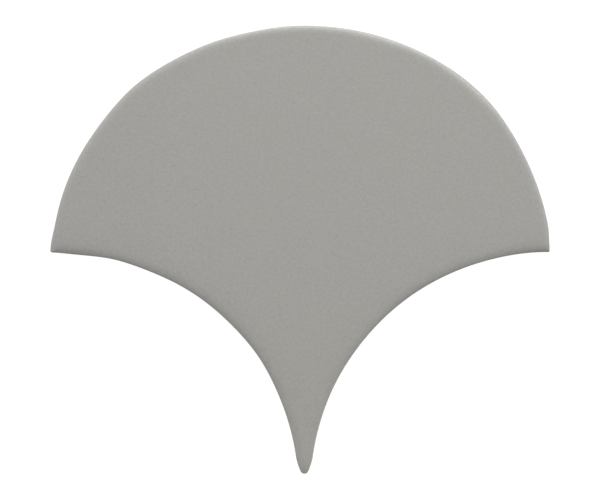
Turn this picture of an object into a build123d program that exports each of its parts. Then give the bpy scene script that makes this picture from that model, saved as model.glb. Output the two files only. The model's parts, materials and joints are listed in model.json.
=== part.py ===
"""A fan-shaped porcelain floor tile: one fired piece, lying on its keyed back with the glazed face up.

The plan is a fan: a three-centred dome over two concave flanks that run down to a narrow tip.
The face is flat and rolls down at its rim, the arris is rounded, and the wall draws in below a straight
land.
The back carries a plain border and a lattice of ribs around shallow key pockets for the adhesive.
"""

import os
from math import asin, ceil, degrees

from build123d import *

# Plan of the fan, in millimetres
tile_width = 142.0
dome_rise = 64.2
tip_drop = 63.1
crown_radius = 76.0
crown_width = 54.0
flank_radius = 68.0
corner_radius = 0.6

# Tip of the fan
neck_width = 4.9
tip_length = 5.2
nose_radius = 1.2

# Section through the rim, with the draft in degrees
thickness = 9.0
roll_width = 2.4
roll_drop = 0.45
roll_radius = 7.5
arris_width = 0.3
arris_height = 0.3
arris_radius = 0.6
land_height = 4.0
wall_draft = 3.0

# Keyed back, with the draft in degrees and the smallest pocket in square millimetres
border_width = 6.0
key_pitch = 12.0
rib_width = 2.5
key_depth = 0.7
key_draft = 20.0
smallest_pocket = 25.0

# How far a cutter reaches past the tile
overrun = 6.0

# The origin is halfway between crown and tip, on the axis of symmetry, in the plane of the back
crown_y = (dome_rise + tip_drop) / 2
corner_y = crown_y - dome_rise
tip_y = -crown_y
right_corner = Vector(tile_width / 2, corner_y)
left_corner = Vector(-tile_width / 2, corner_y)
right_neck = Vector(neck_width / 2, tip_y + tip_length)
crown_half_angle = degrees(asin(crown_width / 2 / crown_radius))
up = Vector(0, 0, 1)

# Dome: a crown arc that runs on into two tighter shoulders
with BuildLine() as dome_line:
    crown = CenterArc((0, crown_y - crown_radius), crown_radius, 90 - crown_half_angle, 2 * crown_half_angle)
    right_shoulder = TangentArc(crown @ 0, right_corner, tangent=crown % 0 * -1)
    left_shoulder = TangentArc(crown @ 1, left_corner, tangent=crown % 1)

# Right flank: a hollow that takes a neighbour's dome, then a cheek tangent to both the hollow and the nose
with BuildLine() as flank_line:
    hollow = RadiusArc(right_neck, right_corner, flank_radius)
    inward = up.cross(hollow % 0)
    nose_centre = Vector(0, tip_y + nose_radius)
    to_nose = nose_centre - right_neck
    cheek_radius = (to_nose.dot(to_nose) - nose_radius**2) / (2 * (to_nose.dot(inward) - nose_radius))
    cheek_centre = right_neck + inward * cheek_radius
    nose_end = nose_centre + (nose_centre - cheek_centre).normalized() * nose_radius
    cheek = TangentArc(right_neck, nose_end, tangent=hollow % 0 * -1)

# Outline of the fan, with its two corners eased
with BuildSketch() as plan:
    with BuildLine():
        add(dome_line.line)
        add(flank_line.line)
        mirror(flank_line.line, about=Plane.YZ)
        ThreePointArc(nose_end, (0, tip_y), (-nose_end.X, nose_end.Y))
    make_face()
    fillet(plan.vertices().group_by(Axis.X)[0] + plan.vertices().group_by(Axis.X)[-1], corner_radius)

# Cutting paths run counter-clockwise, and straight on past both ends of an edge
with BuildLine() as dome_path:
    Line(right_corner + right_shoulder % 1 * overrun, right_corner)
    add(dome_line.line)
    Line(left_corner, left_corner + left_shoulder % 1 * overrun)
with BuildLine() as flank_path:
    Line(nose_end + cheek % 1 * overrun, nose_end)
    add(flank_line.line)
    Line(right_corner, right_corner + hollow % 1 * overrun)


def section_plane(path):
    """Plane square to the start of a cutting path: x runs into the tile, and y up from the face's level."""
    return Plane(origin=path @ 0 + up * thickness, x_dir=up.cross(path % 0), z_dir=path % 0)


def sweep_roll(path):
    """Clay that the roll of the face takes off along an edge."""
    with BuildPart() as waste:
        with BuildSketch(section_plane(path)):
            with BuildLine():
                roll = RadiusArc((roll_width, 0), (0, -roll_drop), -roll_radius)
                Polyline(
                    roll @ 1,
                    (-overrun, -roll_drop),
                    (-overrun, overrun),
                    (roll_width, overrun),
                    roll @ 0,
                )
            make_face()
        sweep(path=path)
    return waste.part


def sweep_arris(path):
    """Clay that the rounding of the arris takes off, all the way round the tile."""
    low_y = -roll_drop - arris_height
    high_y = -roll_drop + arris_height / 2
    lead = arris_width / 3
    with BuildPart() as waste:
        with BuildSketch(section_plane(path)):
            with BuildLine():
                arris = RadiusArc((arris_width, high_y), (0, low_y), -arris_radius)
                Polyline(
                    arris @ 1,
                    (-overrun, low_y),
                    (-overrun, overrun),
                    (arris_width + lead, overrun),
                    (arris_width + lead, high_y + lead),
                    arris @ 0,
                )
            make_face()
        sweep(path=path)
    return waste.part


dome_waste = sweep_roll(dome_path.wire())
flank_waste = sweep_roll(flank_path.wire())
arris_waste = sweep_arris(plan.wire())

with BuildPart() as fan_tile:
    # Straight land at the rim, and the wall that draws in below it
    with BuildSketch(Plane.XY.offset(thickness - land_height)) as rim:
        add(plan.sketch)
    extrude(amount=land_height)
    extrude(rim.sketch, amount=land_height - thickness, taper=wall_draft)

    # Roll of the face down to its rim, mitred at the corners and the tip, then the rounded arris
    add(dome_waste, mode=Mode.SUBTRACT)
    add(flank_waste, mode=Mode.SUBTRACT)
    mirror(flank_waste, about=Plane.YZ, mode=Mode.SUBTRACT)
    add(arris_waste, mode=Mode.SUBTRACT)

    # Key pockets inside a plain border, without the slivers that the border leaves
    with BuildSketch() as pockets:
        add(plan.sketch)
        offset(amount=-border_width, mode=Mode.REPLACE)
        columns = 2 * ceil(tile_width / 2 / key_pitch)
        rows = 2 * ceil(crown_y / key_pitch)
        with GridLocations(key_pitch, key_pitch, columns, rows):
            Rectangle(key_pitch - rib_width, key_pitch - rib_width, mode=Mode.INTERSECT)
    keys = pockets.faces().filter_by(lambda face: face.area > smallest_pocket)
    extrude(keys, amount=key_depth, taper=key_draft, mode=Mode.SUBTRACT)

fan_tile.part.label = "fan_tile"
os.makedirs("parts", exist_ok=True)
export_step(fan_tile.part, "parts/fan_tile.step")
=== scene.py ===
# %% [markdown]
# # A fan-shaped porcelain floor tile
#
# The real tile is one piece: clay pressed in a steel die, sprayed with a satin glaze and fired.
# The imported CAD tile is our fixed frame. It already has the right size and place, but its rim is made of a
# few flat facets and its face has no glaze. We model a finer skin over it, in the same metres and the same
# axes, and dress that skin with two finishes: the glaze, and the bare fired body below it.

# %% Load the frame
import json
import math
from collections import namedtuple

import bpy
import numpy as np
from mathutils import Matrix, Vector

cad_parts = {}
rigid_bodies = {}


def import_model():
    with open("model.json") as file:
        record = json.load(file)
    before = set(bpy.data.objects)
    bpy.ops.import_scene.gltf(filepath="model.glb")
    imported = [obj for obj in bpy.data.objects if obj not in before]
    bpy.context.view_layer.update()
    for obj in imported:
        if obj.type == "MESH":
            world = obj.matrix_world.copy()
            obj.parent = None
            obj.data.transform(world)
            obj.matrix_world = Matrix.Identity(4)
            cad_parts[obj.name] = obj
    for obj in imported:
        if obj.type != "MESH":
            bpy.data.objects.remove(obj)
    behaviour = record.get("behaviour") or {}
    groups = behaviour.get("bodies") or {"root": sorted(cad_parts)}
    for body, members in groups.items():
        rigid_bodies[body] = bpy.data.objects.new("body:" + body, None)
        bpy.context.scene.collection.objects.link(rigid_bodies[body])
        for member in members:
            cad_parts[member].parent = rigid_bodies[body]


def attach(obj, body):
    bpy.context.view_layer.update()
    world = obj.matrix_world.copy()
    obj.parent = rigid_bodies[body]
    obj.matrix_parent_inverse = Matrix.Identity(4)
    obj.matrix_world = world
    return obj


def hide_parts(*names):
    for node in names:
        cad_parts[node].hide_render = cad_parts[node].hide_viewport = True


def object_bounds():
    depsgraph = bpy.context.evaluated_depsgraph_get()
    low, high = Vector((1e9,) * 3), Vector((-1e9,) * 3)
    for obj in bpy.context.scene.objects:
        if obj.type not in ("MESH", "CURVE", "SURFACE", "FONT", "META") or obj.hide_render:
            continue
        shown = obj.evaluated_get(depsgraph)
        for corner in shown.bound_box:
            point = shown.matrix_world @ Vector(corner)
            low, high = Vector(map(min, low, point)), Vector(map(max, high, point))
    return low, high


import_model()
cad_low, cad_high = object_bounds()
mm = 0.001
thickness = cad_high.z - cad_low.z
tip_y = cad_low.y
crown_y = -tip_y
print("CAD box in mm:", [round(side / mm, 2) for side in cad_high - cad_low])

# %% [markdown]
# ## The outline, as six arcs
#
# A die maker draws this fan with a compass. The dome is a crown arc that runs on into a tighter shoulder.
# The hollow flank has nearly the dome's radius, because it takes the dome of the next tile. A small cheek and
# a nose finish the tip. We only draw the right half, from the crown down to the tip, and mirror it later.
# Each arc keeps its centre, radius, first angle and turn, because we need them twice: to draw the line, and
# to measure how far any point of the face lies from the rim.

# %% Compass helpers
Arc = namedtuple("Arc", "centre radius start turn hollow")


def arc_between(centre, first, last, hollow=False):
    """The short arc from one point to another about a centre; a hollow arc bends into the tile."""
    spoke = first - centre
    end_spoke = last - centre
    start = math.atan2(spoke.y, spoke.x)
    turn = math.atan2(end_spoke.y, end_spoke.x) - start
    turn = (turn + math.pi) % math.tau - math.pi
    return Arc(centre, spoke.length, start, turn, hollow)


def circles_meet(centre_a, radius_a, centre_b, radius_b, near):
    """The point where two circles cross, on the side that is nearer to a given point."""
    between = centre_b - centre_a
    along = (radius_a**2 - radius_b**2 + between.length_squared) / (2 * between.length)
    sideways = math.sqrt(radius_a**2 - along**2)
    base = centre_a + between.normalized() * along
    square = Vector((-between.y, between.x)).normalized()
    return min((base + square * sideways, base - square * sideways), key=lambda spot: (spot - near).length)


# %% Centres and radii of the fan
crown_radius = 76.0 * mm
crown_half_width = 27.0 * mm
half_width = 71.0 * mm
dome_rise = 64.2 * mm
corner_radius = 0.6 * mm
hollow_radius = 68.0 * mm
neck_half_width = 2.45 * mm
tip_length = 5.2 * mm
nose_radius = 1.2 * mm

corner = Vector((half_width, crown_y - dome_rise))
neck = Vector((neck_half_width, tip_y + tip_length))
crown_centre = Vector((0.0, crown_y - crown_radius))
crown_end = crown_centre + Vector((crown_half_width, math.sqrt(crown_radius**2 - crown_half_width**2)))
crown_inward = (crown_centre - crown_end).normalized()
to_corner = corner - crown_end
shoulder_radius = to_corner.length_squared / (2 * to_corner.dot(crown_inward))
shoulder_centre = crown_end + crown_inward * shoulder_radius
hollow_centre = circles_meet(neck, hollow_radius, corner, hollow_radius, Vector((corner.x, neck.y)))
corner_centre = circles_meet(
    shoulder_centre, shoulder_radius - corner_radius, hollow_centre, hollow_radius + corner_radius, corner
)
nose_centre = Vector((0.0, tip_y + nose_radius))
neck_inward = (neck - hollow_centre).normalized()
to_nose = nose_centre - neck
cheek_radius = (to_nose.length_squared - nose_radius**2) / (2 * (to_nose.dot(neck_inward) - nose_radius))
cheek_centre = neck + neck_inward * cheek_radius
print("shoulder and cheek radius in mm:", round(shoulder_radius / mm, 2), round(cheek_radius / mm, 2))

# %% The half outline
crown_top = Vector((0.0, crown_y))
shoulder_end = corner_centre + (corner_centre - shoulder_centre).normalized() * corner_radius
hollow_start = corner_centre + (hollow_centre - corner_centre).normalized() * corner_radius
nose_start = nose_centre + (nose_centre - cheek_centre).normalized() * nose_radius
tip = Vector((0.0, tip_y))

crown_arc = arc_between(crown_centre, crown_top, crown_end)
shoulder_arc = arc_between(shoulder_centre, crown_end, shoulder_end)
corner_arc = arc_between(corner_centre, shoulder_end, hollow_start)
hollow_arc = arc_between(hollow_centre, hollow_start, neck, hollow=True)
cheek_arc = arc_between(cheek_centre, neck, nose_start)
nose_arc = arc_between(nose_centre, nose_start, tip)
dome = [crown_arc, shoulder_arc, corner_arc]
flank = [corner_arc, hollow_arc, cheek_arc, nose_arc]
outline = dome + flank[1:]
print("half outline in mm:", round(sum(arc.radius * abs(arc.turn) for arc in outline) / mm, 1))

# %% [markdown]
# ## Drawing the half outline by spinning a vertex
#
# Blender's Spin turns what is selected about a centre and joins the steps with edges. One vertex, spun about
# each centre in turn, draws the whole line, and each step lies exactly on its arc. We start from a plane that
# is merged to a single point, because there is no primitive with only one vertex.

# %% Start a line and spin it along arcs
longest_step = 1.0 * mm
fewest_steps = 8


def start_point(place):
    """In edit mode, one new selected vertex at a place in the plan."""
    bpy.ops.mesh.primitive_plane_add(size=mm)
    bpy.ops.mesh.merge(type="CENTER")
    bpy.ops.transform.translate(value=(place.x, place.y, 0.0))


def spin_along(arcs):
    """Spins the selected vertex along arcs that follow on from each other."""
    for arc in arcs:
        steps = max(fewest_steps, math.ceil(arc.radius * abs(arc.turn) / longest_step))
        pivot = (arc.centre.x, arc.centre.y, 0.0)
        bpy.ops.mesh.spin(steps=steps, angle=-arc.turn, center=pivot, axis=(0, 0, 1))


bpy.ops.object.select_all(action="DESELECT")
bpy.ops.mesh.primitive_plane_add(size=mm)
tile = bpy.context.object
tile.name = "glazed_fan_tile"
bpy.ops.object.mode_set(mode="EDIT")
bpy.ops.mesh.select_mode(type="VERT")
bpy.ops.mesh.delete(type="VERT")
start_point(crown_top)
spin_along(outline)
bpy.ops.mesh.select_all(action="SELECT")
bpy.ops.object.mode_set(mode="OBJECT")
outline_count = len(tile.data.vertices)
print("points on the half outline:", outline_count)

# %% [markdown]
# ## Measuring from the rim
#
# Everything that happens near the rim depends on one number: how far a point lies from the outline. With the
# arcs at hand we can work it out exactly. For each arc the nearest point, its foot, lies on the spoke through
# the point, or at one of the arc's ends, and the nearest foot of all wins. We also need the room: how far a
# foot can walk inwards before another stretch of the rim comes nearer. It is small in the corners and in the
# tip, where loops that run beside the outline have to crowd together.

# %% Distance, foot and inward direction
def measure_rim(plan, arcs):
    """For points in the plan: the gap to the nearest arc, the foot of that gap, and the way inwards."""
    gap = np.full(len(plan), np.inf)
    foot = np.zeros_like(plan)
    inward = np.zeros_like(plan)
    for arc in arcs:
        centre = np.array(arc.centre)
        spokes = plan - centre
        middle = arc.start + arc.turn / 2
        swing = np.arctan2(spokes[:, 1], spokes[:, 0]) - middle
        swing = (swing + math.pi) % math.tau - math.pi
        angle = middle + np.clip(swing, -abs(arc.turn) / 2, abs(arc.turn) / 2)
        ray = np.column_stack((np.cos(angle), np.sin(angle)))
        arc_foot = centre + arc.radius * ray
        arc_gap = np.linalg.norm(plan - arc_foot, axis=1)
        nearer = arc_gap < gap
        gap[nearer] = arc_gap[nearer]
        foot[nearer] = arc_foot[nearer]
        inward[nearer] = ray[nearer] if arc.hollow else -ray[nearer]
    return gap, foot, inward


def fold_left_over(plan):
    """Points of the left half, laid over on the right half."""
    return np.column_stack((np.abs(plan[:, 0]), plan[:, 1]))


halvings = 24
nearly_all = 0.999


def room_inside(foot, inward, reach):
    """How far each foot can walk inwards, up to a reach, while it stays the nearest point of the rim."""
    free = np.zeros(len(foot))
    blocked = np.full(len(foot), reach)
    for _ in range(halvings):
        trial = (free + blocked) / 2
        gap, _, _ = measure_rim(fold_left_over(foot + inward * trial[:, None]), outline)
        clear = gap > nearly_all * trial
        free = np.where(clear, trial, free)
        blocked = np.where(clear, blocked, trial)
    return free


origin_gap = measure_rim(np.zeros((1, 2)), outline)[0][0]
print("the origin lies", round(origin_gap / mm, 1), "mm from the rim")

# %% [markdown]
# ## The face and its rolled rim
#
# The die rolls the face down over the last millimetres, and the glaze softens what the die leaves. Inset
# would be the quick way to make such a rim, but its loops cross each other in a narrow tip. So we extrude the
# outline inwards, one loop at a time, and slide each new loop to its own distance from the rim. The loops lie
# close together at the arris, where the surface turns fastest.

# %% Read, move and select points
def read_points(piece):
    """Where all vertices are, in object mode."""
    places = np.zeros(len(piece.data.vertices) * 3, dtype=np.float32)
    piece.data.vertices.foreach_get("co", places)
    return places.reshape(-1, 3).astype(float)


def move_points(piece, places):
    """Puts all vertices at new places, in object mode."""
    piece.data.vertices.foreach_set("co", places.astype(np.float32).ravel())
    piece.data.update()


def selected_points(piece):
    """Which vertices are selected, in object mode."""
    chosen = np.zeros(len(piece.data.vertices), dtype=bool)
    piece.data.vertices.foreach_get("select", chosen)
    return chosen


def select_points(piece, chosen):
    """Selects these vertices and no others, and leaves the piece in edit mode."""
    bpy.ops.object.mode_set(mode="EDIT")
    bpy.ops.mesh.select_mode(type="VERT")
    bpy.ops.mesh.select_all(action="DESELECT")
    bpy.ops.object.mode_set(mode="OBJECT")
    piece.data.vertices.foreach_set("select", chosen)
    bpy.ops.object.mode_set(mode="EDIT")


# %% Extrude one loop beside the rim
room_share = 0.9


def extrude_loop(piece, gap, widest_gap, height=None):
    """Extrudes the selected line and slides it to a gap from the rim, or nearer where room is short."""
    bpy.ops.object.mode_set(mode="EDIT")
    bpy.ops.mesh.extrude_edges_indiv()
    bpy.ops.object.mode_set(mode="OBJECT")
    chosen = selected_points(piece)
    places = read_points(piece)
    _, foot, inward = measure_rim(places[chosen, :2], outline)
    room = room_inside(foot, inward, 2 * widest_gap)
    share = np.minimum(1.0, room_share * room / widest_gap)
    places[chosen, :2] = foot + inward * (gap * share)[:, None]
    if height is not None:
        places[chosen, 2] = height
    move_points(piece, places)


# %% Loops across the rim
arris_radius = 0.4 * mm
arris_turns = [math.radians(angle) for angle in (15, 30, 45, 60, 75, 90)]
arris_gaps = [arris_radius * (1 - math.cos(turn)) for turn in arris_turns]
roll_gaps = [gap * mm for gap in (0.58, 0.8, 1.1, 1.45, 1.9, 2.5, 3.2)]
rim_gaps = arris_gaps + roll_gaps

for loop_gap in rim_gaps:
    extrude_loop(tile, loop_gap, rim_gaps[-1])
print("rim loops:", len(rim_gaps), "points so far:", len(tile.data.vertices))

# %% [markdown]
# The innermost loop is still open towards the middle of the tile. Blender's F key, Make Edge/Face, closes it
# with one large face, and Bisect cuts that face into small squares, so that the flat of the tile can carry a
# slight waviness later. Bisect works on what is selected and shown, so the rim is hidden meanwhile.

# %% Fill the flat and cut it into squares
flat_square = 3.0 * mm
across = Vector((1.0, 0.0, 0.0))
upwards = Vector((0.0, 1.0, 0.0))


def bisect_at(offsets, direction):
    """Cuts all shown faces at offsets along one direction of the plan."""
    for offset in offsets:
        bpy.ops.mesh.select_all(action="SELECT")
        bpy.ops.mesh.bisect(plane_co=direction * offset, plane_no=direction)


bpy.ops.object.mode_set(mode="EDIT")
bpy.ops.mesh.edge_face_add()
bpy.ops.mesh.hide(unselected=True)
bisect_at(np.arange(flat_square, corner.x, flat_square), across)
bisect_at(np.arange(tip_y + flat_square, crown_y, flat_square), upwards)
bpy.ops.mesh.reveal(select=False)
bpy.ops.object.mode_set(mode="OBJECT")
print("faces of the half face:", len(tile.data.polygons))

# %% [markdown]
# Now the whole half face gets its height. The roll follows the error function: it is steep at the rim and
# dies away smoothly, as a glaze does. Along the flanks the face also falls off more gently over several
# millimetres. Where two sides come near each other, as in the corners and the tip, their levels are
# multiplied, which blends them with no crease. The arris is a small quarter circle.

# %% Roll the face down to its rim
roll_drop = 0.45 * mm
dome_roll = 1.32 * mm
flank_roll = 1.45 * mm
flank_fall = 0.3 * mm
fall_reach = 4.0 * mm
error_function = np.vectorize(math.erf)


def side_level(gap, reach):
    """Grows from 0 at a side of the tile to 1 well inside it."""
    return error_function(gap / reach)


def face_height(plan):
    """Height of the face over the right half: flat in the middle, rolled at the rim, rounded at the arris."""
    dome_gap = measure_rim(plan, dome)[0]
    right_gap = measure_rim(plan, flank)[0]
    left_gap = measure_rim(plan * (-1.0, 1.0), flank)[0]
    roll = side_level(dome_gap, dome_roll) * side_level(right_gap, flank_roll)
    roll *= side_level(left_gap, flank_roll)
    fall = side_level(right_gap, fall_reach) * side_level(left_gap, fall_reach)
    to_arris = np.clip(1 - np.minimum(dome_gap, right_gap) / arris_radius, 0.0, 1.0)
    arris_drop = arris_radius * (1 - np.sqrt(1 - to_arris**2))
    return thickness - roll_drop * (1 - roll) - flank_fall * (1 - fall) - arris_drop


face_points = read_points(tile)
face_points[:, 2] = face_height(face_points[:, :2])
move_points(tile, face_points)
rim_height = thickness - roll_drop - arris_radius
face_levels = face_points[:, 2] / mm
print("face runs in mm from", face_levels.min().round(2), "to", face_levels.max().round(2))

# %% [markdown]
# ## The wall
#
# Below the arris the wall drops straight for a while. This land sets the width of the joint when tiles are
# laid. Under it the wall draws in a few degrees, so that the pressed clay leaves its die, and a small round
# ends it at the back. The outline is selected again and extruded downwards through those heights.

# %% Extrude the wall down to the back
land_height = 4.0 * mm
wall_draft = math.tan(math.radians(3.0))
foot_radius = 0.35 * mm
land_bottom = thickness - land_height
land_loops = 4
draft_loops = 5
foot_turns = [math.radians(angle) for angle in (22.5, 45.0, 67.5, 90.0)]

wall_steps = [(0.0, height) for height in np.linspace(rim_height, land_bottom, land_loops + 1)[1:]]
for height in np.linspace(land_bottom, foot_radius, draft_loops + 1)[1:]:
    wall_steps.append((wall_draft * (land_bottom - height), height))
foot_inset = wall_draft * (land_bottom - foot_radius)
for foot_turn in foot_turns:
    foot_out = foot_radius * (1 - math.cos(foot_turn))
    wall_steps.append((foot_inset + foot_out, foot_radius * (1 - math.sin(foot_turn))))

select_points(tile, np.arange(len(tile.data.vertices)) < outline_count)
for wall_inset, wall_height in wall_steps:
    extrude_loop(tile, wall_inset, wall_steps[-1][0], wall_height)
print("wall loops:", len(wall_steps), "back edge drawn in by", round(wall_steps[-1][0] / mm, 2), "mm")

# %% [markdown]
# ## The keyed back
#
# The back of a pressed tile has a plain border and shallow pockets between ribs, which the adhesive grips.
# The border is drawn by spinning again, with the radii of the outline moved in by the border's width. Make
# Edge/Face closes the ring between the wall's foot and the border, and then the middle, which Bisect cuts
# along the ribs. Inset with a depth sinks each pocket and slopes its walls in one go, and Bevel rounds its
# edges. The round is small, because a wider one would run over points of the border that lie close to a rib.

# %% Draw the border of the back
touching = 1e-7
weld_gap = 1e-6
border_width = 6.0 * mm
shoulder_inner = shoulder_radius - border_width
hollow_inner = hollow_radius + border_width
left_hollow_centre = Vector((-hollow_centre.x, hollow_centre.y))
border_top = crown_top - Vector((0.0, border_width))
border_joint = crown_end + crown_inward * border_width
border_corner = circles_meet(shoulder_centre, shoulder_inner, hollow_centre, hollow_inner, corner)
border_tip = circles_meet(hollow_centre, hollow_inner, left_hollow_centre, hollow_inner, crown_top)

bpy.ops.object.mode_set(mode="EDIT")
start_point(border_top)
spin_along([
    arc_between(crown_centre, border_top, border_joint),
    arc_between(shoulder_centre, border_joint, border_corner),
    arc_between(hollow_centre, border_corner, border_tip, hollow=True),
])
bpy.ops.object.mode_set(mode="OBJECT")
back_points = read_points(tile)
on_back = np.abs(back_points[:, 2]) < touching
on_axis = np.abs(back_points[:, 0]) < weld_gap
on_border = on_back & (measure_rim(back_points[:, :2], outline)[0] > border_width / 2)
print("points on the back's edge and border:", on_back.sum() - on_border.sum(), on_border.sum())

# %% Fill the border and cut the ribs
key_pitch = 12.0 * mm
rib_width = 2.5 * mm
rib_lines = [
    column * key_pitch + side * rib_width / 2
    for column in range(math.ceil(corner.x / key_pitch) + 1)
    for side in (-1, 1)
]

for axis_end in (back_points[:, 1] > 0, back_points[:, 1] < 0):
    select_points(tile, on_back & on_axis & axis_end)
    bpy.ops.mesh.edge_face_add()
for fill_line in (on_back, on_border):
    select_points(tile, fill_line)
    bpy.ops.mesh.edge_face_add()
bpy.ops.mesh.hide(unselected=True)
bisect_at(rib_lines[1:], across)
bisect_at(rib_lines + [-line for line in rib_lines], upwards)
bpy.ops.mesh.reveal(select=False)
bpy.ops.object.mode_set(mode="OBJECT")
print("faces with the back cut:", len(tile.data.polygons))

# %% Sink the key pockets
key_depth = 0.7 * mm
key_draft = math.tan(math.radians(20.0))
smallest_pocket = 25.0 * mm**2
area_slack = 1.01
largest_pocket = area_slack * (key_pitch - rib_width) ** 2
key_round = 0.12 * mm
round_segments = 2


def between_ribs(position):
    """True where a position across the ribs falls into a pocket."""
    from_rib = abs(position) % key_pitch
    return rib_width / 2 < from_rib < key_pitch - rib_width / 2


def is_pocket(polygon):
    """True for a face of the back that lies between ribs and is worth a pocket."""
    middle = polygon.center
    worth_it = smallest_pocket < polygon.area < largest_pocket
    return abs(middle.z) < touching and worth_it and between_ribs(middle.x) and between_ribs(middle.y)


def is_pocket_floor(polygon):
    """True for the flat floor of a sunk pocket."""
    return abs(polygon.center.z - key_depth) < touching


def select_faces(piece, test):
    """Selects the faces that pass a test and no others, and leaves the piece in edit mode."""
    bpy.ops.object.mode_set(mode="EDIT")
    bpy.ops.mesh.select_mode(type="FACE")
    bpy.ops.mesh.select_all(action="DESELECT")
    bpy.ops.object.mode_set(mode="OBJECT")
    chosen = [polygon for polygon in piece.data.polygons if test(polygon)]
    for polygon in chosen:
        polygon.select = True
    facing = math.copysign(1.0, chosen[0].normal.z)
    bpy.ops.object.mode_set(mode="EDIT")
    return len(chosen), facing


pocket_count, pocket_facing = select_faces(tile, is_pocket)
bpy.ops.mesh.inset(thickness=key_depth * key_draft, depth=key_depth * pocket_facing, use_individual=True)
bpy.ops.mesh.select_more()
bpy.ops.mesh.region_to_loop()
bpy.ops.mesh.bevel(offset=key_round, segments=round_segments, affect="EDGES")
select_faces(tile, is_pocket_floor)
bpy.ops.mesh.region_to_loop()
bpy.ops.mesh.bevel(offset=key_round, segments=round_segments, affect="EDGES")
bpy.ops.object.mode_set(mode="OBJECT")
print("pockets in the half back:", pocket_count)

# %% [markdown]
# Make Edge/Face and Bisect leave faces with many sides. Every program cuts such faces into triangles in its
# own way, and long slivers shade badly. So we cut them here, with the Beauty method, which prefers even
# triangles.

# %% Cut the many-sided faces into triangles
most_sides = 4

bpy.ops.object.mode_set(mode="EDIT")
bpy.ops.mesh.select_mode(type="FACE")
bpy.ops.mesh.select_face_by_sides(number=most_sides, type="GREATER", extend=False)
bpy.ops.mesh.quads_convert_to_tris(quad_method="BEAUTY", ngon_method="BEAUTY")
bpy.ops.object.mode_set(mode="OBJECT")
print("faces of the half tile:", len(tile.data.polygons))

# %% [markdown]
# ## Mirror, and close the skin
#
# The Mirror modifier makes the left half and welds the two along the axis. Extruded and newly made faces may
# point either way, so the normals are recalculated once the skin is whole. It is watertight when no edge has
# fewer or more than two faces, which the count at the end shows.

# %% Mirror the half
mirror = tile.modifiers.new("left_half", "MIRROR")
mirror.use_axis = (True, False, False)
mirror.use_clip = True
mirror.merge_threshold = weld_gap
bpy.ops.object.modifier_apply(modifier=mirror.name)
bpy.ops.object.mode_set(mode="EDIT")
bpy.ops.mesh.select_mode(type="VERT")
bpy.ops.mesh.select_all(action="SELECT")
bpy.ops.mesh.normals_make_consistent(inside=False)
bpy.ops.mesh.select_all(action="DESELECT")
bpy.ops.mesh.select_non_manifold()
bpy.ops.object.mode_set(mode="OBJECT")
print("open edges touch", selected_points(tile).sum(), "points; faces:", len(tile.data.polygons))

# %% [markdown]
# ## What the kiln leaves
#
# A fired face is never dead flat. The Displace modifier gives ours a few hundredths of a millimetre of
# waviness, which only shows where light grazes it. Its vertex group is zero on the wall and the back and
# grows from the rim inwards, so the rim stays true. The texture only presses down, so the tile gets no
# thicker. The gap to the rim is kept as an attribute of the points, because the glaze will need it.

# %% Give the face a slight waviness
wave_size = 22.0 * mm
wave_depth = 0.05 * mm
wave_fade = 4.0 * mm

tile_points = read_points(tile)
rim_gap = measure_rim(fold_left_over(tile_points[:, :2]), outline)[0]
rim_attribute = tile.data.attributes.new("rim_gap", "FLOAT", "POINT")
rim_attribute.data.foreach_set("value", (rim_gap / mm).astype(np.float32))

wave_weight = np.where(tile_points[:, 2] > land_bottom, error_function(rim_gap / wave_fade) ** 2, 0.0)
wave_group = tile.vertex_groups.new(name="inner_face")
for point_index in np.flatnonzero(wave_weight):
    wave_group.add([int(point_index)], wave_weight[point_index], "REPLACE")

wave_texture = bpy.data.textures.new("kiln_waves", "CLOUDS")
wave_texture.noise_scale = wave_size
waves = tile.modifiers.new("waves", "DISPLACE")
waves.texture = wave_texture
waves.texture_coords = "LOCAL"
waves.direction = "Z"
waves.mid_level = 1.0
waves.strength = wave_depth
waves.vertex_group = wave_group.name
bpy.ops.object.modifier_apply(modifier=waves.name)
wave_dip = tile_points[:, 2] - read_points(tile)[:, 2]
print("the face dips by up to", round(wave_dip.max() / mm, 3), "mm")

# %% [markdown]
# Clay also shrinks unevenly while it is fired, so this tile came out a little lopsided. Its crown and its tip
# lie 1.2 to 1.6 millimetres to the right of the middle between its two corners. In a few places the rim is
# also pushed out or drawn in by up to six tenths of a millimetre: it bulges at both shoulders, sags along the
# flanks, and is slim at the waist. The face sinks a little more at parts of the dome's rim and at the
# corners, and a little less along the flanks. A lattice could bend the mesh so, but a few smooth formulas
# over all points say it plainly. A push gives its place, its reach and its distance in millimetres.

# %% Lean the tile to the right
def ease(values, start, end):
    """Goes smoothly from 0 at the start to 1 at the end."""
    share = np.clip((values - start) / (end - start), 0.0, 1.0)
    return share**2 * (3 - 2 * share)


side_lean = 0.65 * mm
side_start = 68.0 * mm
side_full = 53.0 * mm
end_lean = 0.4 * mm
end_reach = 1.0 * mm
crown_lean = 0.5 * mm
crown_start = 45.0 * mm
crown_full = 62.0 * mm
tip_lean = 0.2 * mm
tip_start = -10.0 * mm
tip_full = -30.0 * mm

tile_points = read_points(tile)
along = tile_points[:, 1]
aside = np.abs(tile_points[:, 0])
lean = side_lean * ease(aside, side_start, side_full)
lean += end_lean * ease(aside, corner.x, corner.x - end_reach)
lean += crown_lean * ease(along, crown_start, crown_full)
lean += tip_lean * ease(along, tip_start, tip_full)
print("crown leans by", round(lean[np.argmax(along)] / mm, 2), "mm")

# %% Push the rim out or draw it in
Push = namedtuple("Push", "place reach distance")


def weight_near(push):
    """For all points of the tile: 1 at the place of a push, fading to 0 beyond its reach."""
    away = np.linalg.norm(tile_points[:, :2] / mm - push.place, axis=1)
    return np.exp(-((away / push.reach) ** 2))


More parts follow.
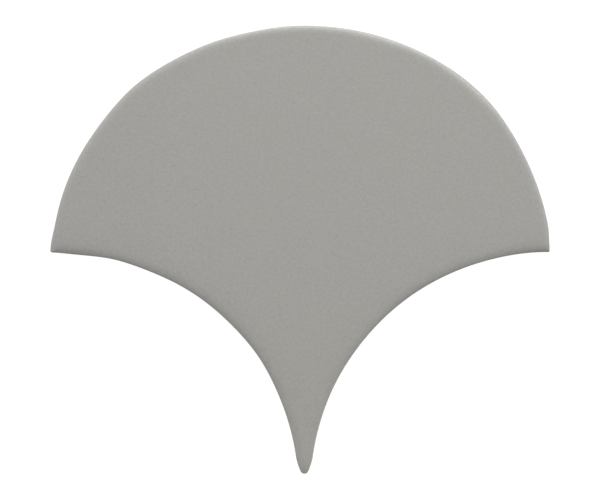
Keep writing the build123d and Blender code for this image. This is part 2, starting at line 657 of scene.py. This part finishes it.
rim_pushes = {
    "crown's left end": Push((-15.5, 62.0), 7.0, -0.18),
    "left shoulder": Push((-48.5, 45.5), 12.0, 0.48),
    "right shoulder": Push((48.5, 45.5), 13.0, 0.5),
    "left flank by the corner": Push((-63.5, -0.8), 8.0, 0.62),
    "left flank": Push((-45.0, -5.2), 12.0, 0.48),
    "left waist": Push((-13.0, -31.0), 9.0, -0.24),
    "right flank": Push((52.0, -2.9), 28.0, 0.23),
    "right waist": Push((8.5, -39.0), 12.0, -0.1),
}

warped_points = tile_points.copy()
warped_points[:, 0] += lean
for push_name, push in rim_pushes.items():
    place = np.array([push.place]) * mm
    push_way = -measure_rim(fold_left_over(place), outline)[2] * (np.sign(place[0, 0]), 1.0)
    warped_points[:, :2] += push_way * (push.distance * mm * weight_near(push))[:, None]
    print(push_name, "goes", push.distance, "mm towards", push_way.round(2)[0])
warped_points[:, 0] = warped_points[:, 0].clip(cad_low.x, cad_high.x)

# %% Let the face sink along its rim
face_sinks = {
    "left shoulder": Push((-48.0, 46.0), 22.0, 0.13),
    "left side": Push((-68.0, 18.0), 12.0, 0.08),
    "crown's right end": Push((21.0, 61.0), 8.0, 0.1),
    "right shoulder": Push((48.0, 46.0), 9.0, 0.27),
    "left corner": Push((-67.0, 0.5), 6.0, 0.12),
    "right corner": Push((67.0, 0.5), 6.0, 0.14),
    "left flank": Push((-42.0, -6.5), 16.0, -0.08),
    "right flank": Push((52.0, -2.5), 9.0, -0.07),
}
sink_reach = 1.8 * mm

on_face = tile_points[:, 2] > rim_height - flank_fall - touching
near_rim = np.where(on_face, 1 - side_level(rim_gap, sink_reach), 0.0)
for sink_name, sink in face_sinks.items():
    warped_points[:, 2] -= sink.distance * mm * weight_near(sink) * near_rim
    print(sink_name, "sinks by", sink.distance, "mm")
move_points(tile, warped_points)

# %% [markdown]
# Smooth shading hides the facets of the round edges. On the back it would also bend the light over the flat
# ribs and the border, so a Weighted Normal modifier there lets each large flat face keep its own direction.

# %% Shade the skin
smooth_angle = math.radians(35.0)

bpy.ops.object.shade_smooth_by_angle(angle=smooth_angle)
back_group = tile.vertex_groups.new(name="keyed_back")
back_indices = np.flatnonzero(tile_points[:, 2] < key_depth + touching)
back_group.add(back_indices.tolist(), 1.0, "REPLACE")
flat_ribs = tile.modifiers.new("flat_ribs", "WEIGHTED_NORMAL")
flat_ribs.keep_sharp = True
flat_ribs.vertex_group = back_group.name
bpy.ops.object.modifier_apply(modifier=flat_ribs.name)
print("triangles:", sum(len(polygon.vertices) - 2 for polygon in tile.data.polygons))

# %% [markdown]
# ## Effects that both finishes share
#
# Glaze and bare clay have things in common: soft clouds from uneven firing, tiny specks, and a fine grain.
# Each is a node group, built once, which takes a position in millimetres and puts out a plain value. Each
# finish places it with its own sizes.

# %% Node helpers
def add_node(tree, kind, inputs=None, **settings):
    """A new node with its settings; each input is set to a value, or linked if a socket is given."""
    node = tree.nodes.new(kind)
    for name, setting in settings.items():
        setattr(node, name, setting)
    for name, value in (inputs or {}).items():
        if isinstance(value, bpy.types.NodeSocket):
            tree.links.new(value, node.inputs[name])
        else:
            node.inputs[name].default_value = value
    return node


def calculate(tree, operation, *values):
    """The result of a Math node."""
    return add_node(tree, "ShaderNodeMath", dict(enumerate(values)), operation=operation).outputs[0]


def remap(tree, value, start, end, low=0.0, high=1.0):
    """A value eased from one range into another."""
    ends = {"Value": value, "From Min": start, "From Max": end, "To Min": low, "To Max": high}
    return add_node(tree, "ShaderNodeMapRange", ends, interpolation_type="SMOOTHSTEP").outputs["Result"]


def mix_colours(tree, factor, first, second):
    """One colour laid over another by a factor; a Mix node's colour sockets go by number."""
    sockets = {"Factor": factor, 6: first, 7: second}
    return add_node(tree, "ShaderNodeMix", sockets, data_type="RGBA").outputs[2]


def shade_of(red, green, blue):
    """A colour as a screen shows it, 0 to 255, in the linear values that a shader wants."""
    parts = (part / 255 for part in (red, green, blue))
    linear = [part / 12.92 if part <= 0.04045 else ((part + 0.055) / 1.055) ** 2.4 for part in parts]
    return (*linear, 1.0)


def new_group(name, takes, gives):
    """A node group with named sockets, and the two nodes inside that hold them."""
    group = bpy.data.node_groups.new(name, "ShaderNodeTree")
    for in_out, sockets in (("INPUT", takes), ("OUTPUT", gives)):
        for socket, kind in sockets.items():
            group.interface.new_socket(socket, in_out=in_out, socket_type=f"NodeSocket{kind}")
    return group, group.nodes.new("NodeGroupInput").outputs, group.nodes.new("NodeGroupOutput").inputs


def use_group(tree, group, **inputs):
    """A node group placed in a material or in another group."""
    return add_node(tree, "ShaderNodeGroup", inputs, node_tree=group).outputs


# %% Kiln clouds
cloud_detail = 3.0
cloud_roughness = 0.45
cloud_start = 0.3
cloud_full = 0.7

kiln_clouds, taken, given = new_group(
    "kiln_clouds", {"Position": "Vector", "Size": "Float", "Layer": "Float"}, {"Clouds": "Float"}
)
cloud_noise = add_node(
    kiln_clouds,
    "ShaderNodeTexNoise",
    {
        "Vector": taken["Position"],
        "W": taken["Layer"],
        "Scale": calculate(kiln_clouds, "DIVIDE", 1.0, taken["Size"]),
        "Detail": cloud_detail,
        "Roughness": cloud_roughness,
    },
    noise_dimensions="4D",
)
clouds = remap(kiln_clouds, cloud_noise.outputs["Fac"], cloud_start, cloud_full)
kiln_clouds.links.new(clouds, given["Clouds"])
print("group", kiln_clouds.name, "has", len(kiln_clouds.nodes), "nodes")

# %% Pinprick specks
smallest_speck = 0.3
speck_core = 0.3

pinprick_specks, taken, given = new_group(
    "pinprick_specks",
    {"Position": "Vector", "Spacing": "Float", "Width": "Float", "Share": "Float"},
    {"Specks": "Float"},
)
speck_cells = add_node(
    pinprick_specks,
    "ShaderNodeTexVoronoi",
    {"Vector": taken["Position"], "Scale": calculate(pinprick_specks, "DIVIDE", 1.0, taken["Spacing"])},
)
speck_chance = add_node(pinprick_specks, "ShaderNodeSeparateColor", {"Color": speck_cells.outputs["Color"]})
speck_size = calculate(pinprick_specks, "ADD", speck_chance.outputs["Green"], smallest_speck)
speck_radius = calculate(pinprick_specks, "MULTIPLY", taken["Width"], speck_size)
speck_gap = calculate(pinprick_specks, "MULTIPLY", speck_cells.outputs["Distance"], taken["Spacing"])
radius_share = calculate(pinprick_specks, "DIVIDE", speck_gap, speck_radius)
speck_dot = remap(pinprick_specks, radius_share, 1.0, speck_core)
speck_kept = calculate(pinprick_specks, "LESS_THAN", speck_chance.outputs["Red"], taken["Share"])
pinprick_specks.links.new(calculate(pinprick_specks, "MULTIPLY", speck_dot, speck_kept), given["Specks"])
print("group", pinprick_specks.name, "has", len(pinprick_specks.nodes), "nodes")

# %% Fine grain
grain_detail = 2.0
grain_roughness = 0.6
grain_middle = 0.5

fine_grain, taken, given = new_group(
    "fine_grain", {"Position": "Vector", "Size": "Float"}, {"Grain": "Float"}
)
grain_noise = add_node(
    fine_grain,
    "ShaderNodeTexNoise",
    {
        "Vector": taken["Position"],
        "Scale": calculate(fine_grain, "DIVIDE", 1.0, taken["Size"]),
        "Detail": grain_detail,
        "Roughness": grain_roughness,
    },
)
grain_swing = calculate(fine_grain, "SUBTRACT", grain_noise.outputs["Fac"], grain_middle)
fine_grain.links.new(grain_swing, given["Grain"])
print("group", fine_grain.name, "has", len(fine_grain.nodes), "nodes")

# %% [markdown]
# Below the glaze the fired clay itself shows, on the lower wall and on the back. Both finishes need it, so it
# is a group too, and it is built from the three groups above: a pale grey biscuit with darker grog grains,
# broad clouds, and a dry, slightly sandy surface.

# %% Fired body
body_pale = shade_of(178, 172, 162)
body_warm = shade_of(160, 151, 138)
body_grog = shade_of(108, 101, 92)
mottle_strength = 0.9
grog_strength = 0.55
body_roughness = 0.86
body_rough_swing = 0.2

fired_body, taken, given = new_group(
    "fired_body", {"Position": "Vector"}, {"Colour": "Color", "Roughness": "Float", "Height": "Float"}
)
body_clouds = use_group(fired_body, kiln_clouds, Position=taken["Position"], Size=26.0, Layer=4.0)["Clouds"]
body_grain = use_group(fired_body, fine_grain, Position=taken["Position"], Size=0.35)["Grain"]
body_specks = use_group(
    fired_body, pinprick_specks, Position=taken["Position"], Spacing=1.3, Width=0.22, Share=0.3
)["Specks"]
grain_share = calculate(fired_body, "MULTIPLY_ADD", body_grain, mottle_strength, body_clouds)
body_colour = mix_colours(fired_body, grain_share, body_pale, body_warm)
speck_share = calculate(fired_body, "MULTIPLY", body_specks, grog_strength)
fired_body.links.new(mix_colours(fired_body, speck_share, body_colour, body_grog), given["Colour"])
body_rough = calculate(fired_body, "MULTIPLY_ADD", body_grain, body_rough_swing, body_roughness)
fired_body.links.new(body_rough, given["Roughness"])
fired_body.links.new(calculate(fired_body, "SUBTRACT", body_grain, body_specks), given["Height"])
print("group", fired_body.name, "has", len(fired_body.nodes), "nodes")

# %% [markdown]
# ## Satin glaze
#
# From a step away the face is one warm grey. Close up it has faint pinkish and greenish clouds, a fine grain,
# and a few dark pinpricks and pale specks. It is a little rosier on the left and warmer towards the tip. The
# gloss is soft, so the light only shows on the roll of the rim. On the arris the glaze runs thin and pales.
# On the wall it ends in a wavy line, below which the body shows. Places and sizes here are in millimetres.

# %% Mix the satin glaze
glaze_rosy = shade_of(161.6, 159.1, 155.4)
glaze_green = shade_of(162.6, 161.8, 157.2)
glaze_warm = shade_of(162.8, 160.9, 154.6)
grain_dark = shade_of(121, 120, 116)
grain_pale = shade_of(194, 193, 189)
speck_dark = shade_of(104, 102, 98)
thin_glaze = shade_of(186, 184, 179)
grain_strength = 0.64
dark_strength = 0.26
pale_strength = 0.25
cloud_share = 0.35
flash_start = -62.0
flash_end = -18.0
flash_share = 0.65
warm_start = -10.0
warm_end = -62.0
per_metre = 1000.0


def start_material(name):
    """A material's node tree, its shader, and a position in millimetres that stays with the piece."""
    material = bpy.data.materials.new(name)
    material.use_nodes = True
    tree = material.node_tree
    place = add_node(tree, "ShaderNodeTexCoord").outputs["Object"]
    scaled = add_node(tree, "ShaderNodeVectorMath", {"Vector": place, "Scale": per_metre}, operation="SCALE")
    return material, tree, tree.nodes["Principled BSDF"], scaled.outputs["Vector"]


satin_glaze, tree, shader, position = start_material("satin_glaze")
tint_clouds = use_group(tree, kiln_clouds, Position=position, Size=6.0, Layer=1.0)["Clouds"]
place_on_face = add_node(tree, "ShaderNodeSeparateXYZ", {"Vector": position}).outputs
flashed = remap(tree, place_on_face["X"], flash_start, flash_end, 0.0, flash_share)
warmth = remap(tree, place_on_face["Y"], warm_start, warm_end)
tint = calculate(tree, "MULTIPLY_ADD", tint_clouds, cloud_share, flashed)
grain = use_group(tree, fine_grain, Position=position, Size=0.7)["Grain"]
peel = use_group(tree, fine_grain, Position=position, Size=2.4)["Grain"]
dark_specks = use_group(tree, pinprick_specks, Position=position, Spacing=2.0, Width=0.3, Share=0.3)["Specks"]
pale_specks = use_group(tree, pinprick_specks, Position=position, Spacing=3.1, Width=0.3, Share=0.2)["Specks"]
body = use_group(tree, fired_body, Position=position)

glaze_colour = mix_colours(tree, tint, glaze_rosy, glaze_green)
glaze_colour = mix_colours(tree, warmth, glaze_colour, glaze_warm)
dark_grain = calculate(tree, "MULTIPLY", grain, -grain_strength)
pale_grain = calculate(tree, "MULTIPLY", grain, grain_strength)
glaze_colour = mix_colours(tree, dark_grain, glaze_colour, grain_dark)
glaze_colour = mix_colours(tree, pale_grain, glaze_colour, grain_pale)
dark_dots = calculate(tree, "MULTIPLY", dark_specks, dark_strength)
pale_dots = calculate(tree, "MULTIPLY", pale_specks, pale_strength)
glaze_colour = mix_colours(tree, dark_dots, glaze_colour, speck_dark)
glaze_colour = mix_colours(tree, pale_dots, glaze_colour, thin_glaze)
print("glaze has", len(tree.nodes), "nodes so far")

# %% Thin the glaze at the arris and end it on the wall
glaze_end = 5.8
glaze_wander = 1.4
end_blur = 0.15
thin_width = 0.5
thin_most = 0.25
glaze_roughness = 0.4
glaze_rough_swing = 0.06
sand_gain = 2.0
peel_depth = 0.012 * mm

rim_distance = add_node(tree, "ShaderNodeAttribute", attribute_name="rim_gap").outputs["Fac"]
thin_share = remap(tree, rim_distance, thin_width, 0.0, 0.0, thin_most)
glaze_colour = mix_colours(tree, thin_share, glaze_colour, thin_glaze)

wander = use_group(tree, fine_grain, Position=position, Size=9.0)["Grain"]
run_height = calculate(tree, "MULTIPLY_ADD", wander, glaze_wander, place_on_face["Z"])
bare_share = remap(tree, run_height, glaze_end + end_blur, glaze_end - end_blur)
surface_colour = mix_colours(tree, bare_share, glaze_colour, body["Colour"])

glaze_rough = calculate(tree, "MULTIPLY_ADD", grain, glaze_rough_swing, glaze_roughness)
rough_gain = calculate(tree, "SUBTRACT", body["Roughness"], glaze_rough)
surface_rough = calculate(tree, "MULTIPLY_ADD", rough_gain, bare_share, glaze_rough)
sand_share = calculate(tree, "MULTIPLY", bare_share, sand_gain)
body_height = calculate(tree, "MULTIPLY", body["Height"], sand_share)
surface_height = calculate(tree, "ADD", peel, body_height)
surface_bump = add_node(
    tree, "ShaderNodeBump", {"Strength": 1.0, "Distance": peel_depth, "Height": surface_height}
)
tree.links.new(surface_colour, shader.inputs["Base Color"])
tree.links.new(surface_rough, shader.inputs["Roughness"])
tree.links.new(surface_bump.outputs["Normal"], shader.inputs["Normal"])
print("glaze has", len(tree.nodes), "nodes")

# %% [markdown]
# ## Bare porcelain
#
# The back was never glazed. It is the fired body with a thin white dusting of kiln wash, rubbed on by the
# rollers that carried the tile, so it lies on the ribs and the border and not in the pockets.

# %% Mix the bare porcelain
kiln_wash = shade_of(214, 211, 204)
wash_gone = 0.25
wash_start = 0.4
wash_full = 0.9
wash_most = 0.7
sand_depth = 0.03 * mm

bare_porcelain, tree, shader, position = start_material("bare_porcelain")
body = use_group(tree, fired_body, Position=position)
wash_clouds = use_group(tree, kiln_clouds, Position=position, Size=14.0, Layer=7.0)["Clouds"]
wash_grain = use_group(tree, fine_grain, Position=position, Size=0.8)["Grain"]
depth_in_back = add_node(tree, "ShaderNodeSeparateXYZ", {"Vector": position}).outputs["Z"]
wash_left = remap(tree, depth_in_back, wash_gone, 0.0)
wash_mix = calculate(tree, "ADD", wash_clouds, wash_grain)
wash_patch = remap(tree, wash_mix, wash_start, wash_full, 0.0, wash_most)
wash_share = calculate(tree, "MULTIPLY", wash_patch, wash_left)
back_bump = add_node(
    tree, "ShaderNodeBump", {"Strength": 1.0, "Distance": sand_depth, "Height": body["Height"]}
)
tree.links.new(mix_colours(tree, wash_share, body["Colour"], kiln_wash), shader.inputs["Base Color"])
tree.links.new(body["Roughness"], shader.inputs["Roughness"])
tree.links.new(back_bump.outputs["Normal"], shader.inputs["Normal"])
print("bare porcelain has", len(tree.nodes), "nodes")

# %% [markdown]
# The face, the rim and the land take the glaze, and all that lies lower takes the bare porcelain. The tile
# then rides on the CAD tile's body and stands in its place.

# %% Dress the tile and set it in the CAD tile's place
tile.data.materials.append(satin_glaze)
tile.data.materials.append(bare_porcelain)
for polygon in tile.data.polygons:
    polygon.material_index = int(polygon.center.z < land_bottom)
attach(tile, "root")
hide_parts("fan_tile")
print("glazed faces:", sum(polygon.material_index == 0 for polygon in tile.data.polygons))

# %% [markdown]
# ## Floor and light
#
# The tile lies on plain white. The floor glows like a light table and hardly reflects, so that no shadow
# darkens it. A soft key light stands behind the crown, at a low slant: it brightens the roll of the dome,
# which leans towards it, and leaves the flanks' rims darker. Two weaker lights, to its left and right, do the
# same for the sides of the dome. The sky is brighter near the horizon.

# %% White floor
floor_size = 6.0
floor_drop = 0.1 * mm
floor_glow = 1.0
floor_tone = 0.08
floor_roughness = 0.9

bpy.ops.mesh.primitive_plane_add(size=floor_size, location=(0.0, 0.0, -floor_drop))
floor = bpy.context.object
floor.name = "white_floor"
white_paper = bpy.data.materials.new("white_paper")
white_paper.use_nodes = True
paper_shader = white_paper.node_tree.nodes["Principled BSDF"]
paper_shader.inputs["Base Color"].default_value = (floor_tone, floor_tone, floor_tone, 1.0)
paper_shader.inputs["Roughness"].default_value = floor_roughness
paper_shader.inputs["Emission Color"].default_value = (1.0, 1.0, 1.0, 1.0)
paper_shader.inputs["Emission Strength"].default_value = floor_glow
floor.data.materials.append(white_paper)
print("floor lies", floor_drop / mm, "mm below the tile's back")

# %% Sky
zenith_light = 0.185
horizon_light = 0.41

sky = bpy.data.worlds.new("studio_sky")
sky.use_nodes = True
bpy.context.scene.world = sky
sky_tree = sky.node_tree
looking = add_node(sky_tree, "ShaderNodeTexCoord").outputs["Generated"]
up_share = add_node(sky_tree, "ShaderNodeSeparateXYZ", {"Vector": looking}).outputs["Z"]
sky_light = remap(sky_tree, up_share, 0.0, 1.0, horizon_light, zenith_light)
sky_tree.links.new(sky_light, sky_tree.nodes["Background"].inputs["Strength"])
sky_tree.nodes["Background"].inputs["Color"].default_value = (1.0, 1.0, 1.0, 1.0)
print("sky from", horizon_light, "at the horizon to", zenith_light, "overhead")

# %% Soft lights
light_distance = 1.6
light_height = math.radians(37.0)
softbox_width = 1.2
softbox_height = 0.6

for light_name, light_side, light_power in (
    ("key_light", math.radians(9.0), 19.6),
    ("left_light", math.radians(-60.0), 6.0),
    ("right_light", math.radians(54.0), 7.9),
):
    light_out = light_distance * math.cos(light_height)
    light_up = light_distance * math.sin(light_height)
    light_place = Vector((light_out * math.sin(light_side), light_out * math.cos(light_side), light_up))
    bpy.ops.object.light_add(type="AREA", location=light_place)
    softbox = bpy.context.object
    softbox.name = light_name
    softbox.data.shape = "RECTANGLE"
    softbox.data.size = softbox_width
    softbox.data.size_y = softbox_height
    softbox.data.energy = light_power
    softbox.rotation_euler = light_place.to_track_quat("Z", "Y").to_euler()
    print(light_name, "at", [round(part, 2) for part in light_place])

# %% [markdown]
# ## Camera
#
# The camera looks straight down on the tile from about a metre, through a long lens, so that the wall stays
# hidden all round. Its distance sets the scale: the frame is 600 pixels wide, and the tile fills 500 of them.

# %% Straight-down camera
frame_width = 600
tile_pixels = 500
tile_span = 2 * corner.x
long_lens = 200.0
film_width = 36.0
camera_y = -0.08 * mm

pixels_per_metre = tile_pixels / tile_span
camera_distance = long_lens / film_width * frame_width / pixels_per_metre
bpy.ops.object.camera_add(location=(0.0, camera_y, rim_height + camera_distance), rotation=(0.0, 0.0, 0.0))
camera = bpy.context.object
camera.data.lens = long_lens
camera.data.sensor_width = film_width
bpy.context.scene.camera = camera
bpy.context.scene.view_settings.view_transform = "Standard"
print("camera stands", round(camera_distance, 3), "m above the rim")
